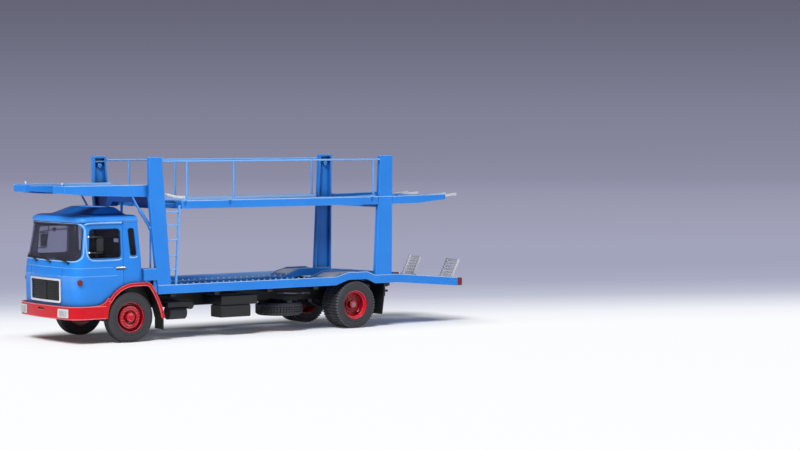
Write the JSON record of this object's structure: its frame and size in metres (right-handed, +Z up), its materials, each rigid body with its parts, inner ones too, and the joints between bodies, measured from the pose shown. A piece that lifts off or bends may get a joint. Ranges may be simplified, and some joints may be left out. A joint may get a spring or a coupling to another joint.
{
  "type": "scale model of a car transporter truck",
  "caption": "Scale model of a rigid car transporter truck: short cab, deck over the cab, upper and lower wheel tracks between channel posts, ladder, handrails and hinged loading flaps.",
  "frame": {"origin": "on the ground under the middle of the model's length and width", "axes": "+X forward to the cab, +Y to the driver's left, +Z up"},
  "size_m": [0.2394, 0.058, 0.0891],
  "materials": {
    "blue_paint": "gloss spray paint on a zinc casting",
    "red_paint": "gloss spray paint",
    "red_wheel_paint": "gloss moulded and painted wheel",
    "black_chassis_plastic": "matt moulded plastic",
    "tyre_rubber": "soft moulded rubber",
    "clear_glazing": "clear moulded plastic",
    "bare_aluminium": "pressed tread plate",
    "steel_pin": "drawn steel",
    "chrome_trim": "plated",
    "chain_chrome": "plated",
    "grille_black": "black moulded plastic",
    "lamp_white": "white lamp",
    "lamp_red": "red lamp",
    "flap_rubber": "matt black",
    "interior_plastic": "matt moulded plastic",
    "seat_plastic": "matt moulded plastic"
  },
  "bodies": {
    "root": {"air_tank": "black_chassis_plastic", "cab_floor": "interior_plastic", "cab_shell": "blue_paint", "chassis_frame": "black_chassis_plastic", "dashboard": "interior_plastic", "deck_bearers": "black_chassis_plastic", "deck_rams": "blue_paint", "front_axle_beam": "black_chassis_plastic", "front_bumper": "red_paint", "front_deck_beams": "blue_paint", "front_deck_left": "blue_paint", "front_deck_right": "blue_paint", "front_post_left": "blue_paint", "front_post_right": "blue_paint", "fuel_tank": "black_chassis_plastic", "grille_frame": "chrome_trim", "grille_panel": "grille_black", "guard_chain": "chain_chrome", "handrail_left": "blue_paint", "handrail_right": "blue_paint", "headlamps": "lamp_white", "hump_plates": "bare_aluminium", "ladder": "blue_paint", "lower_deck_beams": "blue_paint", "lower_deck_left": "blue_paint", "lower_deck_right": "blue_paint", "mirrors": "black_chassis_plastic", "mudflaps": "flap_rubber", "post_boxes": "blue_paint", "rear_axle_beam": "black_chassis_plastic", "rear_post_left": "blue_paint", "rear_post_right": "blue_paint", "rear_window": "clear_glazing", "red_lamps": "lamp_red", "seats": "seat_plastic", "side_lockers": "black_chassis_plastic", "side_windows": "clear_glazing", "spare_rim": "red_wheel_paint", "spare_tyre": "tyre_rubber", "steering_wheel": "interior_plastic", "tow_coupling": "black_chassis_plastic", "upper_deck_beams": "blue_paint", "upper_deck_left": "blue_paint", "upper_deck_right": "blue_paint", "wheelhouses": "black_chassis_plastic", "windscreen": "clear_glazing"},
    "front_wheelset": {"front_axle_pin": "steel_pin", "front_rim_left": "red_wheel_paint", "front_rim_right": "red_wheel_paint", "front_tyre_left": "tyre_rubber", "front_tyre_right": "tyre_rubber"},
    "rear_wheelset": {"rear_axle_pin": "steel_pin", "rear_rim_left": "red_wheel_paint", "rear_rim_right": "red_wheel_paint", "rear_tyres_left": "tyre_rubber", "rear_tyres_right": "tyre_rubber"},
    "flap_high_left": {"high_flap_left": "bare_aluminium"},
    "flap_high_right": {"high_flap_right": "bare_aluminium"},
    "flap_low_left": {"low_flap_left": "bare_aluminium"},
    "flap_low_right": {"low_flap_right": "bare_aluminium"}
  },
  "joints": [
    {"name": "front_axle_roll", "type": "hinge", "parent": "root", "child": "front_wheelset", "pos_m": [0.08516, 0, 0.01212], "axis": [0, 1, 0], "continuous": true},
    {"name": "rear_axle_roll", "type": "hinge", "parent": "root", "child": "rear_wheelset", "pos_m": [-0.04634, 0, 0.01212], "axis": [0, 1, 0], "continuous": true},
    {"name": "low_flap_left_hinge", "type": "hinge", "parent": "root", "child": "flap_low_left", "pos_m": [-0.11404, 0.017, 0.0224], "axis": [0, 1, 0], "range_deg": [-60, 27]},
    {"name": "high_flap_left_hinge", "type": "hinge", "parent": "root", "child": "flap_high_left", "pos_m": [-0.10584, 0.017, 0.0666], "axis": [0, 1, 0], "range_deg": [-15, 85]},
    {"name": "low_flap_right_hinge", "type": "hinge", "parent": "root", "child": "flap_low_right", "pos_m": [-0.11404, -0.017, 0.0224], "axis": [0, 1, 0], "range_deg": [-60, 27]},
    {"name": "high_flap_right_hinge", "type": "hinge", "parent": "root", "child": "flap_high_right", "pos_m": [-0.10584, -0.017, 0.0666], "axis": [0, 1, 0], "range_deg": [-15, 85]}
  ]
}
